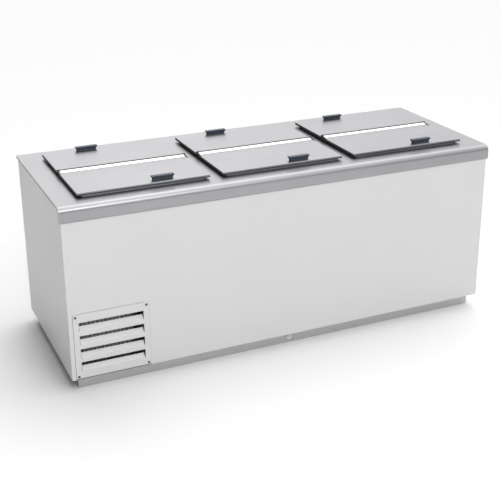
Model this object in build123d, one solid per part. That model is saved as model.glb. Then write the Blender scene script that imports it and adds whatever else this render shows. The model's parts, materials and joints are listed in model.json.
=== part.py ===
"""A chest freezer for ice-cream tubs, with three double flip lids along its counter top.

Millimetres. The origin is on the floor at the middle of the cabinet: +X runs along the length,
-Y is the front that the operator stands at, +Z is up. Every function below makes one kind of
piece, and each piece is written to its own STEP file, named after its node.
"""

from build123d import *
import math
import os

# ---------------------------------------------------------------------------- driving dimensions
LENGTH = 1830.0  # painted cabinet, left side to right side
DEPTH = 690.0  # painted cabinet, front to back
TOP_HEIGHT = 742.0  # floor to the counter top's upper face
CABINET_SHEET = 1.2  # painted panels, floor pan and tank
SEAM = 1.5  # visible gap round a panel that is let into another

# Counter top
TOP_SHEET = 1.5
SIDE_OVERHANG = 5.0  # beyond the side panels
NOSE_OUT = 6.0  # beyond the front and back panels
NOSE_HEIGHT = 60.0
NOSE_RADIUS = 22.0
NOSE_FLAT = 2.0  # flat strip behind the nose's round that its end plates also cover
NOSE_LIP_RADIUS = NOSE_OUT - 0.2  # the nose rolls back to the panel at its lower edge
HEM_HEIGHT = 6.0  # turned-down edge at the sides and back
RIM_HEIGHT = 3.5  # raised rim of the counter top round each collar

# Plinth
PLINTH_HEIGHT = 51.0
PLINTH_RECESS = 29.0
PLINTH_SHEET = 2.0
PLINTH_FLANGE = 30.0

# Lids
SET_NAMES = ("left", "middle", "right")
END_MARGIN = 57.0  # cabinet's end to the strip that the lid sets share
SET_SPACING = 52.0  # between neighbouring sets
FRONT_MARGIN = 84.0  # counter top's front edge to the front leaves
REAR_MARGIN = 85.0  # counter top's back edge to the rear leaves
LID_THICKNESS = 10.0
LID_SKIN = 1.0
LID_SKIN_FOLD = 6.0
GASKET_HEIGHT = 3.0
GASKET_WIDTH = 8.0
COLLAR_HEIGHT = 5.0
COLLAR_WALL = 5.0
COLLAR_INSET_X = 12.0  # lid edge to collar, at each side
COLLAR_INSET_Y = 9.0  # lid edge to collar, at the front and back
COLLAR_NECK_WALL = 2.5
COLLAR_NECK_DEPTH = 30.0
PLUG_DEPTH = 15.0  # foam plug under a leaf, below the leaf's lower face
PLUG_GAP = 6.0  # plug to collar, and plug to hinge base
FIT_GAP = 0.3  # collar neck in the counter top, hinge ear beside hinge base

CORNER_RADIUS = 10.8  # collar neck, outside; the tank and the counter top's holes follow it

# Hinge between the two leaves of a set
HINGE_SET_BACK = 11.5  # axis behind the middle of the set
HINGE_RISE = 3.0  # axis above the leaves' upper face
ROD_RADIUS = 2.0
ROD_CLEARANCE = 0.05
BARREL_RADIUS = 4.5
EYE_RADIUS = 5.5
EAR_THICKNESS = 3.2
ROD_HEAD_RADIUS = 4.0
ROD_HEAD = 1.6
RAIL_WIDTH = 17.0
RAIL_SHEET = 1.2
RAIL_RIDGE = 1.3  # ridge above the hinge axis
RAIL_FRONT_EDGE = 0.5  # front edge above the leaves
RAIL_DEPTH = 6.0  # lower edge below the hinge axis
LEAF_TO_RAIL = 1.0
REAR_LEAF_TO_AXIS = 6.0
BASE_FRONT_FLANGE = 14.0  # seat for the front leaf's gasket, ahead of the front leaf's edge
BASE_REAR_FLANGE = 14.0
EAR_TONGUE = (17.0, 1.2)  # front ear's run over its leaf, and its height there

# Lid handles
HANDLE_FOOT = (82.0, 13.0)  # length, depth
HANDLE_TOP = (91.0, 19.0)
HANDLE_HEIGHT = 16.0
HANDLE_LIP = 2.5
HANDLE_WAIST = 3.0  # how far the concave sides pull in
FRONT_HANDLE_X = 79.0  # from the middle of the set
REAR_HANDLE_X = -81.0
FRONT_HANDLE_INSET = 31.0  # leaf edge to the middle of the handle
REAR_HANDLE_INSET = 15.0

# Tank and insulation
TANK_FLOOR = 110.0
SHELF_INSULATION = 60.0  # machine compartment's roof to the tank's raised floor
RISER_THICKNESS = 60.0  # machine compartment's wall to the tank's step
TANK_MARGIN = 2.0  # collar neck to tank wall
MULLION_DROP = 40.0

# Evaporator tube, let into the insulation round the tank
TUBE_RADIUS = 4.75
LOW_TURN_COUNT = 3  # round the deep part only
HIGH_TURN_COUNT = 3  # round the whole tank
TURN_MARGIN = 60.0  # tank floor or mullion to the nearest turn
HEADER_SPACING = 60.0
HEADER_RADIUS = 5.75
HEADER_SET_BACK = 1.5  # header behind the middle of the turns
HEADER_OVERRUN = 20.0

# Grille in the front panel
GRILLE_MARGIN = 17.0  # cabinet's left edge to the grille
GRILLE_TO_RISER = 24.0
GRILLE_TO_ROOF = 8.0
GRILLE_WIDTH = 294.0
GRILLE_TOP = 319.0
GRILLE_FLANGE = 12.0
GRILLE_FOOT_GAP = 3.0  # plinth's top to the grille's lower edge
LOUVRE_COUNT = 4
LOUVRE_PITCH = 54.4
LOUVRE_TOP_INSET = 35.0  # grille's top edge to the first slot
LOUVRE_HEIGHT = 35.0
LOUVRE_END_INSET = 21.0  # grille's side edge to a slot
LOUVRE_DEPTH = 12.0
LOUVRE_RISE = 16.5
LOUVRE_END_GAP = 3.0
SCREW_INSET_X = 9.5
SCREW_TOP_INSET = 11.5
SCREW_BOTTOM = 62.0
SCREW_RADIUS = 2.0
SCREW_HEAD_RADIUS = 4.5
SCREW_HEAD = 2.0
SCREW_LENGTH = 12.0
CROSS_SLOT = (5.0, 0.8, 1.0)  # length, width, depth
LANDING_WIDTH = 22.0  # strip behind the grille that the screws bite in
PLATE_THICKNESS = 0.6
UPPER_PLATE = (80.0, 15.0, 5.0)  # length, height, below the grille's top edge
LOWER_PLATE = (50.0, 24.0, 6.0)  # length, height, above the grille's lower edge

# Air slots in the back panel, behind the machine compartment
BACK_SLOT_COUNT = 6
BACK_SLOT_BOTTOM = 160.0
BACK_SLOT_PITCH = 24.0
BACK_SLOT_HEIGHT = 8.0
BACK_SLOT_LENGTH = 240.0

# Drain
DRAIN_RADIUS = 11.0
DRAIN_BORE = 9.0
DRAIN_Z = 29.0
DRAIN_TO_TANK_FRONT = 30.5  # tank's front wall to the middle of its drain
CAP_RADIUS = 13.0
CAP_THICKNESS = 7.0
CAP_SPIGOT = 14.0
CAP_RIM_RADIUS = 1.5
CAP_GRIP = (18.0, 4.0, 4.0)  # length, depth proud of the cap, height

# Condensing unit
TRAY_SHEET = 2.0
TRAY_MARGIN = 14.0
TRAY_LIP = 15.0
TRAY_FRONT_GAP = 45.0  # cabinet's front to the tray
TRAY_BACK_GAP = 30.0  # back panel to the tray
CONDENSER_WIDTH = 225.0
CONDENSER_DEPTH = 45.0
CONDENSER_TO_LOUVRES = 36.0
CONDENSER_TO_ROOF = 25.0
CONDENSER_END = 8.0  # end plate beyond the finned block, above and below
CONDENSER_PLATE = (1.5, 4.0)  # end plate's thickness, and how far it stands out in front
FIN_GROOVES = 14
FIN_GROOVE_DEPTH = 14.0
FAN_TO_CONDENSER_EDGE = 24.0
FAN_BLADES = 5
FAN_HUB = (14.0, 22.0)  # radius, length
BLADE_PITCH = 28.0  # degrees
BLADE_CHORD = 46.0
BLADE_SHEET = 2.0
FAN_GAP = 14.0
FAN_SHAFT_RADIUS = 3.0
MOTOR_RADIUS = 34.0
MOTOR_LENGTH = 62.0
MOTOR_GAP = 10.0  # fan hub to motor
POST_SIZE = (40.0, 40.0)
POST_FOOT = (90.0, 3.0)  # width, thickness
COMPRESSOR_RADIUS = 82.0
COMPRESSOR_HEIGHT = 165.0
COMPRESSOR_Y = 110.0
COMPRESSOR_DOME = 45.0  # radius of the can's upper edge
COMPRESSOR_WELD = (88.0, 8.0, 4.0)  # height above the foot plate, width, how far it stands out
TERMINAL_BOX = (32.0, 60.0, 54.0)  # beyond the can, along Y, height
TERMINAL_BOX_LIFT = 30.0
FOOT_PLATE = (200.0, 140.0, 3.0)
GROMMET_SPREAD = (170.0, 110.0)
GROMMET_RADIUS = 12.0
GROMMET_HEIGHT = 12.0
THERMOSTAT_SIZE = (44.0, 40.0, 52.0)
THERMOSTAT_INSET = 62.0  # cabinet's front, and machine compartment's roof, to its middle
SPINDLE_RADIUS = 3.0
SPINDLE_LENGTH = 10.0
LUG_SIZE = (24.0, 2.0)  # depth, thickness
KNOB_RADIUS = 15.0
KNOB_DEPTH = 14.0
GLAND_Z = 110.0
GLAND_BORE = 5.0
GLAND_RADIUS = 9.0
GLAND_FLANGE_RADIUS = 12.0
GLAND_FLANGE = 3.0
GLAND_LENGTH = 16.0

# -------------------------------------------------------------------------------- derived places
HALF_LENGTH = LENGTH / 2
HALF_DEPTH = DEPTH / 2
PANEL_TOP = TOP_HEIGHT - TOP_SHEET  # underside of the counter top
TOP_FRONT = -HALF_DEPTH - NOSE_OUT
TOP_BACK = HALF_DEPTH + NOSE_OUT
TOP_END = HALF_LENGTH + SIDE_OVERHANG
INSIDE_X = HALF_LENGTH - CABINET_SHEET
INSIDE_Y = HALF_DEPTH - CABINET_SHEET
PAN_TOP = PLINTH_HEIGHT + CABINET_SHEET

SEAT_Z = TOP_HEIGHT + COLLAR_HEIGHT  # where gaskets and hinge bases rest
LID_Z = SEAT_Z + GASKET_HEIGHT  # lower face of a leaf
LID_TOP_Z = LID_Z + LID_THICKNESS
AXIS_Z = LID_TOP_Z + HINGE_RISE
SET_PITCH = (LENGTH - 2 * END_MARGIN) / len(SET_NAMES)
HALF_SET = (SET_PITCH - SET_SPACING) / 2
SET_FRONT = TOP_FRONT + FRONT_MARGIN  # front edge of the front leaf
SET_BACK = TOP_BACK - REAR_MARGIN  # back edge of the rear leaf
HINGE_Y = (SET_FRONT + SET_BACK) / 2 + HINGE_SET_BACK

COLLAR_X = HALF_SET - COLLAR_INSET_X
COLLAR_FRONT = SET_FRONT + COLLAR_INSET_Y
COLLAR_BACK = SET_BACK - COLLAR_INSET_Y
COLLAR_CORNER = CORNER_RADIUS - COLLAR_NECK_WALL + COLLAR_WALL
MOUTH_X = COLLAR_X - COLLAR_WALL  # clear opening inside a collar
MOUTH_FRONT = COLLAR_FRONT + COLLAR_WALL
MOUTH_BACK = COLLAR_BACK - COLLAR_WALL
NECK_X = MOUTH_X + COLLAR_NECK_WALL
NECK_FRONT = MOUTH_FRONT - COLLAR_NECK_WALL
NECK_BACK = MOUTH_BACK + COLLAR_NECK_WALL

RAIL_BACK = HINGE_Y - BARREL_RADIUS - 0.7
RAIL_FRONT = RAIL_BACK - RAIL_WIDTH
FRONT_LEAF_BACK = RAIL_FRONT - LEAF_TO_RAIL
REAR_LEAF_FRONT = HINGE_Y + REAR_LEAF_TO_AXIS
BASE_FRONT = FRONT_LEAF_BACK - BASE_FRONT_FLANGE
BASE_BACK = REAR_LEAF_FRONT + BASE_REAR_FLANGE
EAR_OUTER_X = HALF_SET
EAR_SPLIT_X = EAR_OUTER_X - EAR_THICKNESS - FIT_GAP
HINGE_END_X = EAR_SPLIT_X - EAR_THICKNESS - FIT_GAP

TANK_X = SET_PITCH + NECK_X + TANK_MARGIN
TANK_FRONT = NECK_FRONT - TANK_MARGIN
TANK_BACK = NECK_BACK + TANK_MARGIN
TANK_CORNER = CORNER_RADIUS + TANK_MARGIN  # inside radius of the tank's upright corners
TUBE_OFFSET = CABINET_SHEET + TUBE_RADIUS + FIT_GAP  # tank's inside face to the tube's middle
DRAIN_INLET_Y = TANK_FRONT + DRAIN_TO_TANK_FRONT

GRILLE_LEFT = -HALF_LENGTH + GRILLE_MARGIN
GRILLE_RIGHT = GRILLE_LEFT + GRILLE_WIDTH
GRILLE_MIDDLE = (GRILLE_LEFT + GRILLE_RIGHT) / 2
GRILLE_LOW = PLINTH_HEIGHT + GRILLE_FOOT_GAP
RISER_X = GRILLE_RIGHT + GRILLE_TO_RISER  # right wall of the machine compartment
SHELF_END_X = RISER_X + RISER_THICKNESS
MACHINE_ROOF = GRILLE_TOP + GRILLE_TO_ROOF
SHELF_FLOOR = MACHINE_ROOF + SHELF_INSULATION
UNIT_X = (RISER_X - INSIDE_X) / 2  # middle of the machine compartment
UNIT_Z = PAN_TOP + TRAY_SHEET
CONDENSER_X = GRILLE_MIDDLE - 20
CONDENSER_Y = -HALF_DEPTH + LOUVRE_DEPTH + CONDENSER_TO_LOUVRES + CONDENSER_DEPTH / 2
CONDENSER_TOP = MACHINE_ROOF - CONDENSER_TO_ROOF
FAN_Y = CONDENSER_Y + CONDENSER_DEPTH / 2 + FAN_GAP
FAN_Z = (UNIT_Z + CONDENSER_TOP) / 2
FAN_RADIUS = CONDENSER_WIDTH / 2 - FAN_TO_CONDENSER_EDGE
THERMOSTAT_X = RISER_X - THERMOSTAT_SIZE[0] / 2 - 2
THERMOSTAT_Y = -HALF_DEPTH + THERMOSTAT_INSET
THERMOSTAT_Z = MACHINE_ROOF - THERMOSTAT_INSET
GLAND_X = UNIT_X


# ---------------------------------------------------------------------------------- small helpers
def block(x, y, z):
    """A box given as its low and high limits along each axis."""
    size = [high - low for low, high in (x, y, z)]
    middle = [(low + high) / 2 for low, high in (x, y, z)]
    return Pos(*middle) * Box(*size)


def rounded(x, y, z, radius):
    """A box with rounded upright edges."""
    shape = block(x, y, z)
    return fillet(shape.edges().filter_by(Axis.Z), radius)


def ring(x, y, z, wall):
    """A rectangular frame with a straight-through hole, all four walls equal."""
    hole = block(
        (x[0] + wall, x[1] - wall), (y[0] + wall, y[1] - wall), (z[0] - 1, z[1] + 1)
    )
    return block(x, y, z) - hole


def rounded_ring(x, y, z, wall, radius):
    """A frame of equal walls, with rounded upright corners inside and out."""
    hole_x = (x[0] + wall, x[1] - wall)
    hole_y = (y[0] + wall, y[1] - wall)
    hole = rounded(hole_x, hole_y, (z[0] - 1, z[1] + 1), radius - wall)
    return rounded(x, y, z, radius) - hole


def along_x(outline, x):
    """A face drawn in (Y, Z), carried from x[0] to x[1]."""
    return Pos(x[0], 0, 0) * extrude(Plane.YZ * outline, x[1] - x[0])


def cylinder_y(radius, x, y, z):
    """A round bar along Y, from y[0] to y[1]."""
    middle = (y[0] + y[1]) / 2
    return Pos(x, middle, z) * Rot(90, 0, 0) * Cylinder(radius, y[1] - y[0])


def cylinder_x(radius, x, y, z):
    """A round bar along X, from x[0] to x[1]."""
    middle = (x[0] + x[1]) / 2
    return Pos(middle, y, z) * Rot(0, 90, 0) * Cylinder(radius, x[1] - x[0])


def cylinder_z(radius, x, y, z):
    """A round bar along Z, from z[0] to z[1]."""
    middle = (z[0] + z[1]) / 2
    return Pos(x, y, middle) * Cylinder(radius, z[1] - z[0])


def polygon(*points):
    return make_face(Polyline(*points, close=True))


# ------------------------------------------------------------------------------------- cabinet
def plinth():
    """Four channel rails, open towards the middle, butted at the corners."""
    outer_x = HALF_LENGTH - PLINTH_RECESS
    outer_y = HALF_DEPTH - PLINTH_RECESS
    height = (0, PLINTH_HEIGHT)

    def channel(half_run, trim):
        """A channel whose web is at -Y, and whose flanges stop short by trim at each end."""
        web = block((-half_run, half_run), (-outer_y, -outer_y + PLINTH_SHEET), height)
        flange_x = (-half_run + trim, half_run - trim)
        flange_y = (-outer_y, -outer_y + PLINTH_FLANGE)
        lower = block(flange_x, flange_y, (0, PLINTH_SHEET))
        upper = block(flange_x, flange_y, (PLINTH_HEIGHT - PLINTH_SHEET, PLINTH_HEIGHT))
        return web + lower + upper

    front = channel(outer_x, PLINTH_FLANGE)
    back = Rot(0, 0, 180) * front
    front -= cylinder_y(DRAIN_RADIUS + FIT_GAP, 0, (-outer_y - 1, -outer_y + 9), DRAIN_Z)
    side_run = outer_y - PLINTH_SHEET
    side = Pos(0, outer_y - outer_x, 0) * channel(side_run, 0)
    left = Rot(0, 0, -90) * side
    right = Rot(0, 0, 90) * side
    return [front, back, left, right]


def floor_pan():
    """Flat sheet that closes the body underneath, holed for the drain."""
    sheet = block(
        (-INSIDE_X, INSIDE_X), (-INSIDE_Y, INSIDE_Y), (PLINTH_HEIGHT, PAN_TOP)
    )
    hole = cylinder_z(
        DRAIN_RADIUS + FIT_GAP, 0, DRAIN_INLET_Y, (PLINTH_HEIGHT - 1, PAN_TOP + 1)
    )
    return sheet - hole


def nose_relief():
    """Space behind the counter top's rounded nose, kept clear of panels and insulation."""
    x = (-HALF_LENGTH - 1, HALF_LENGTH + 1)
    y = (-HALF_DEPTH - 1, TOP_FRONT + NOSE_RADIUS)
    return block(x, y, (TOP_HEIGHT - NOSE_RADIUS, TOP_HEIGHT))


def front_panel():
    """Painted front, notched at its lower left, with landing strips behind the grille."""
    sheet = block(
        (-HALF_LENGTH, HALF_LENGTH), (-HALF_DEPTH, -INSIDE_Y), (PLINTH_HEIGHT, PANEL_TOP)
    )
    notch_x = (GRILLE_LEFT - SEAM, GRILLE_RIGHT + SEAM)
    notch_top = GRILLE_TOP + SEAM
    sheet -= block(
        notch_x, (-HALF_DEPTH - 1, -INSIDE_Y + 1), (PLINTH_HEIGHT - 1, notch_top)
    )
    landing_y = (-INSIDE_Y, -INSIDE_Y + CABINET_SHEET)
    landing_z = (PAN_TOP, MACHINE_ROOF - FIT_GAP)
    left = block((-INSIDE_X, GRILLE_LEFT + LANDING_WIDTH), landing_y, landing_z)
    right_x = (GRILLE_RIGHT - LANDING_WIDTH, RISER_X - FIT_GAP)
    right = block(right_x, landing_y, landing_z)
    panel = sheet + left + right - nose_relief()
    for x, z in screw_places():
        panel -= cylinder_y(SCREW_RADIUS + 0.1, x, (-HALF_DEPTH, -HALF_DEPTH + 9), z)
    return panel


def side_panel(side):
    """Painted side sheet between the front and back panels; side is -1 for the left."""
    x = sorted((side * HALF_LENGTH, side * INSIDE_X))
    sheet = block(x, (-INSIDE_Y, INSIDE_Y), (PLINTH_HEIGHT, PANEL_TOP))
    return sheet - nose_relief()


def back_panel():
    """Painted back sheet with air slots and the cord's hole behind the machine compartment."""
    sheet = block(
        (-HALF_LENGTH, HALF_LENGTH), (INSIDE_Y, HALF_DEPTH), (PLINTH_HEIGHT, PANEL_TOP)
    )
    through = (INSIDE_Y - 1, HALF_DEPTH + 1)
    slot_x = (UNIT_X - BACK_SLOT_LENGTH / 2, UNIT_X + BACK_SLOT_LENGTH / 2)
    for row in range(BACK_SLOT_COUNT):
        z = BACK_SLOT_BOTTOM + BACK_SLOT_PITCH * row
        sheet -= block(slot_x, through, (z, z + BACK_SLOT_HEIGHT))
    return sheet - cylinder_y(GLAND_RADIUS + FIT_GAP, GLAND_X, through, GLAND_Z)


def nose_outline(inset, back):
    """The counter top's rounded front edge in (Y, Z), drawn inset from its outer face.

    It starts at `back` on the top face, goes over the nose and ends at the lower lip.
    """
    face = TOP_FRONT + inset
    top = TOP_HEIGHT - inset
    radius = NOSE_RADIUS - inset
    lip = NOSE_LIP_RADIUS - inset
    bottom = TOP_HEIGHT - NOSE_HEIGHT + inset
    return [
        Line((back, top), (face + radius, top)),
        TangentArc((face + radius, top), (face, top - radius), tangent=(-1, 0)),
        Line((face, top - radius), (face, bottom + lip)),
        TangentArc((face, bottom + lip), (face + lip, bottom), tangent=(0, -1)),
    ]


def counter_top():
    """Formed stainless top: flat, nosed at the front, hemmed elsewhere, with three mouths."""
    nose_back = TOP_FRONT + NOSE_RADIUS + NOSE_FLAT
    outer = nose_outline(0, nose_back)
    inner = nose_outline(TOP_SHEET, nose_back)
    lip_join = Line(outer[-1] @ 1, inner[-1] @ 1)
    top_join = Line(outer[0] @ 0, inner[0] @ 0)
    nose = along_x(
        make_face(outer + inner + [lip_join, top_join]), (-TOP_END, TOP_END)
    )
    full_back = Line(outer[0] @ 0, (nose_back, TOP_HEIGHT - NOSE_HEIGHT))
    full_low = Line((nose_back, TOP_HEIGHT - NOSE_HEIGHT), outer[-1] @ 1)
    end_face = make_face(outer + [full_back, full_low])
    left_end = along_x(end_face, (-TOP_END, -TOP_END + TOP_SHEET))
    right_end = along_x(end_face, (TOP_END - TOP_SHEET, TOP_END))

    plate = block((-TOP_END, TOP_END), (nose_back, TOP_BACK), (PANEL_TOP, TOP_HEIGHT))
    hem_z = (TOP_HEIGHT - HEM_HEIGHT, TOP_HEIGHT)
    hem_y = (nose_back - 1, TOP_BACK)
    left_hem = block((-TOP_END, -TOP_END + TOP_SHEET), hem_y, hem_z)
    right_hem = block((TOP_END - TOP_SHEET, TOP_END), hem_y, hem_z)
    back_hem = block((-TOP_END, TOP_END), (TOP_BACK - TOP_SHEET, TOP_BACK), hem_z)

    top = plate + nose + left_end + right_end + left_hem + right_hem + back_hem
    for x in set_middles():
        hole_x = (x - NECK_X - FIT_GAP, x + NECK_X + FIT_GAP)
        hole_y = (NECK_FRONT - FIT_GAP, NECK_BACK + FIT_GAP)
        hole_z = (PANEL_TOP - 1, TOP_HEIGHT + 1)
        top -= rounded(hole_x, hole_y, hole_z, CORNER_RADIUS + FIT_GAP)
        top += rounded_ring(
            (x - COLLAR_X, x + COLLAR_X),
            (COLLAR_FRONT, COLLAR_BACK),
            (PANEL_TOP, TOP_HEIGHT + RIM_HEIGHT),
            TOP_SHEET,
            COLLAR_CORNER,
        )
    return top


def set_middles():
    """X of the middle of each lid set, left to right."""
    return [SET_PITCH * (n - 1) for n in range(len(SET_NAMES))]


# --------------------------------------------------------------------------- tank and insulation
def tank():
    """Stepped liner: deep on the right, a shelf over the machine compartment on the left."""
    sheet = CABINET_SHEET
    walls_x = (-TANK_X - sheet, TANK_X + sheet)
    walls_y = (TANK_FRONT - sheet, TANK_BACK + sheet)
    outer = TANK_CORNER + sheet
    upper = rounded(walls_x, walls_y, (SHELF_FLOOR - sheet, PANEL_TOP), outer)
    lower_x = (SHELF_END_X, walls_x[1])
    lower = rounded(lower_x, walls_y, (TANK_FLOOR, SHELF_FLOOR - sheet), outer)
    space_y = (TANK_FRONT, TANK_BACK)
    upper_z = (SHELF_FLOOR, PANEL_TOP + 1)
    upper_space = rounded((-TANK_X, TANK_X), space_y, upper_z, TANK_CORNER)
    space_x = (SHELF_END_X + sheet, TANK_X)
    lower_z = (TANK_FLOOR + sheet, SHELF_FLOOR)
    lower_space = rounded(space_x, space_y, lower_z, TANK_CORNER)
    drain = cylinder_z(
        DRAIN_BORE, 0, DRAIN_INLET_Y, (TANK_FLOOR - 1, TANK_FLOOR + sheet + 1)
    )
    shell = (upper + lower) - upper_space - lower_space - drain
    for x in mullion_middles():
        shell -= mullion_block(x, FIT_GAP)
    return shell


def mullion_middles():
    return [-SET_PITCH / 2, SET_PITCH / 2]


def mullion_block(x, gap=0.0):
    """Space that one mullion takes between two mouths, with a gap round it for its neighbours."""
    half = (SET_PITCH - 2 * NECK_X) / 2 - FIT_GAP + gap
    y = (TANK_FRONT - gap, TANK_BACK + gap)
    return block((x - half, x + half), y, (PANEL_TOP - MULLION_DROP - gap, PANEL_TOP))


def mullions():
    """Two insulated cross bars that carry the counter top between the mouths."""
    return [mullion_block(x) for x in mullion_middles()]


def turn_path(z, left_x):
    """Centre line of one evaporator turn: a rounded rectangle just outside the tank."""
    low_x, high_x = left_x - TUBE_OFFSET, TANK_X + TUBE_OFFSET
    low_y, high_y = TANK_FRONT - TUBE_OFFSET, TANK_BACK + TUBE_OFFSET
    bend = TANK_CORNER + TUBE_OFFSET
    outline = RectangleRounded(high_x - low_x, high_y - low_y, bend)
    return Pos((low_x + high_x) / 2, (low_y + high_y) / 2, z) * outline.wire()


def spread(low, high, count):
    """Evenly spaced values from low to high."""
    return [low + (high - low) * n / (count - 1) for n in range(count)]


def turns():
    """Height and left end of each evaporator turn, from the lowest up."""
    low_z = (TANK_FLOOR + TURN_MARGIN, SHELF_FLOOR - TURN_MARGIN / 2)
    high_z = (SHELF_FLOOR + TURN_MARGIN, PANEL_TOP - MULLION_DROP - TURN_MARGIN)
    left = SHELF_END_X + CABINET_SHEET
    low = [(z, left) for z in spread(*low_z, LOW_TURN_COUNT)]
    high = [(z, -TANK_X) for z in spread(*high_z, HIGH_TURN_COUNT)]
    return low + high


def header_places():
    """X of the two headers, and the heights that they run between."""
    heights = [z for z, _ in turns()]
    x = SET_PITCH + HEADER_SPACING
    span = (heights[0] - HEADER_OVERRUN, heights[-1] + HEADER_OVERRUN)
    return (x, x + HEADER_SPACING), span


def evaporator():
    """Turns of tube round the tank, joined by two upright headers at the back."""
    coil = None
    for z, left_x in turns():
        path = turn_path(z, left_x)
        start = path @ 0
        section = Plane(origin=start, z_dir=path % 0) * Circle(TUBE_RADIUS)
        turn = sweep(section, path)
        coil = turn if coil is None else coil + turn
    header_x, header_z = header_places()
    header_y = TANK_BACK + TUBE_OFFSET + HEADER_SET_BACK
    for x in header_x:
        coil += cylinder_z(HEADER_RADIUS, x, header_y, header_z)
    return coil


def coil_grooves():
    """Square grooves in the insulation that the evaporator lies in."""
    half = TUBE_RADIUS + FIT_GAP
    reach = TUBE_OFFSET + half
    grooves = []
    for z, left_x in turns():
        x = (left_x - reach, TANK_X + reach)
        y = (TANK_FRONT - reach, TANK_BACK + reach)
        grooves.append(ring(x, y, (z - half, z + half), reach))
    header_x, header_z = header_places()
    header_half = HEADER_RADIUS + FIT_GAP
    header_y = (TANK_BACK, TANK_BACK + TUBE_OFFSET + HEADER_SET_BACK + header_half)
    for x in header_x:
        span = (header_z[0] - FIT_GAP, header_z[1] + FIT_GAP)
        grooves.append(block((x - header_half, x + header_half), header_y, span))
    return grooves


def insulation():
    """Foam boards between the tank and the panels, each a separate slab."""
    front_y = (-INSIDE_Y, TANK_FRONT - CABINET_SHEET)
    back_y = (TANK_BACK + CABINET_SHEET, INSIDE_Y)
    tank_y = (front_y[1], back_y[0])
    tank_left, tank_right = -TANK_X - CABINET_SHEET, TANK_X + CABINET_SHEET
    full_z = (PAN_TOP, PANEL_TOP)
    high_z = (MACHINE_ROOF, PANEL_TOP)
    shelf_under = SHELF_FLOOR - CABINET_SHEET
    slabs = [
        block((tank_right, INSIDE_X), (-INSIDE_Y, INSIDE_Y), full_z),
        block((-INSIDE_X, tank_left), (-INSIDE_Y, INSIDE_Y), high_z),
        block((RISER_X, tank_right), front_y, full_z),
        block((tank_left, RISER_X), front_y, high_z),
        block((RISER_X, tank_right), back_y, full_z),
        block((tank_left, RISER_X), back_y, high_z),
        block((SHELF_END_X, tank_right), tank_y, (PAN_TOP, TANK_FLOOR)),
        block((RISER_X, SHELF_END_X), tank_y, (PAN_TOP, shelf_under)),
        block((tank_left, RISER_X), tank_y, (MACHINE_ROOF, shelf_under)),
    ]
    drain = cylinder_z(
        DRAIN_RADIUS + FIT_GAP, 0, DRAIN_INLET_Y, (PAN_TOP - 1, TANK_FLOOR + 1)
    )
    cuts = coil_grooves() + [drain, nose_relief()]
    boards = []
    for slab in slabs:
        for cut in cuts:
            slab -= cut
        boards.append(slab)
    return boards


# ----------------------------------------------------------------------------------------- drain
def drain_tube():
    """Elbowed tube from the tank's floor to the plinth's front face."""
    front = -HALF_DEPTH + PLINTH_RECESS
    down = (DRAIN_Z, TANK_FLOOR)
    out = (front, DRAIN_INLET_Y)
    outer = cylinder_z(DRAIN_RADIUS, 0, DRAIN_INLET_Y, down)
    outer += cylinder_y(DRAIN_RADIUS, 0, out, DRAIN_Z)
    outer += Pos(0, DRAIN_INLET_Y, DRAIN_Z) * Sphere(DRAIN_RADIUS)
    bore = cylinder_z(DRAIN_BORE, 0, DRAIN_INLET_Y, (DRAIN_Z, TANK_FLOOR + 1))
    bore += cylinder_y(DRAIN_BORE, 0, (front - 1, DRAIN_INLET_Y), DRAIN_Z)
    bore += Pos(0, DRAIN_INLET_Y, DRAIN_Z) * Sphere(DRAIN_BORE)
    return outer - bore


def drain_cap():
    """Round cap with a grip bar, and a spigot that slides into the drain tube."""
    front = -HALF_DEPTH + PLINTH_RECESS - FIT_GAP
    disc = cylinder_y(CAP_RADIUS, 0, (front - CAP_THICKNESS, front), DRAIN_Z)
    rim = disc.edges().filter_by(GeomType.CIRCLE).sort_by(Axis.Y)[0]
    disc = fillet(rim, CAP_RIM_RADIUS)
    spigot = cylinder_y(DRAIN_BORE - 0.1, 0, (front - 1, front + CAP_SPIGOT), DRAIN_Z)
    length, proud, height = CAP_GRIP
    grip_y = (front - CAP_THICKNESS - proud, front - CAP_THICKNESS + 1)
    grip_z = (DRAIN_Z - height / 2, DRAIN_Z + height / 2)
    grip = block((-length / 2, length / 2), grip_y, grip_z)
    return disc + spigot + grip


# ---------------------------------------------------------------------------------------- grille
def screw_places():
    """(X, Z) of the grille's four corner screws."""
    left = GRILLE_LEFT + SCREW_INSET_X
    right = GRILLE_RIGHT - SCREW_INSET_X
    top = GRILLE_TOP - SCREW_TOP_INSET
    return [(x, z) for x in (left, right) for z in (SCREW_BOTTOM, top)]


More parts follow.
